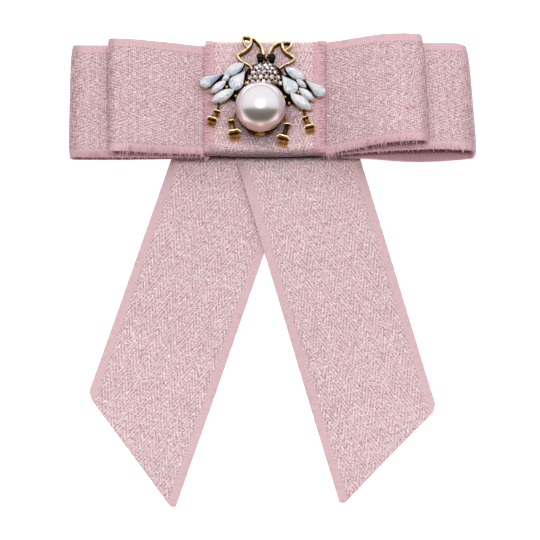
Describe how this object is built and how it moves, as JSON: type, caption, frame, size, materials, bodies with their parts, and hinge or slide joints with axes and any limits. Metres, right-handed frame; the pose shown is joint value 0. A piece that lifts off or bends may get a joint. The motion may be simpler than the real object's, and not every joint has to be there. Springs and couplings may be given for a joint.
{
  "type": "bow brooch",
  "caption": "Flat double ribbon bow brooch with two slanted tails, a jewelled insect on its knot band and a bar pin behind.",
  "frame": {"origin": "middle of the pin bar's outer face, which the cloth of the garment lies against", "axes": "+Z out of the front of the bow, +Y up towards the top edge of the bow, +X to the right as seen from the front; it lies on its back, on the feet of the clasp and the tips of the tails"},
  "size_m": [0.1296, 0.15, 0.0306],
  "materials": {
    "ribbon": "pink herringbone ribbon with silver glitter and plain selvages",
    "antique_gold": "cast, antiqued dark in the recesses",
    "pearl": "pearlescent",
    "opal": "milky, cut",
    "crystal": "clear, foiled behind",
    "black_stone": "polished",
    "pin_steel": "nickel plated"
  },
  "bodies": {
    "root": {"pin_clasp": "pin_steel", "left_tail": "ribbon", "right_tail": "ribbon", "rear_loop": "ribbon", "front_loop": "ribbon", "knot_band": "ribbon", "insect_frame": "antique_gold", "pearl": "pearl", "left_eye": "black_stone", "right_eye": "black_stone", "thorax_crystals": "crystal", "left_wing_stone_1": "opal", "left_wing_stone_2": "opal", "left_wing_stone_3": "opal", "left_wing_stone_4": "opal", "left_wing_stone_5": "opal", "left_wing_stone_6": "opal", "right_wing_stone_1": "opal", "right_wing_stone_2": "opal", "right_wing_stone_3": "opal", "right_wing_stone_4": "opal", "right_wing_stone_5": "opal", "right_wing_stone_6": "opal"}
  },
  "joints": []
}
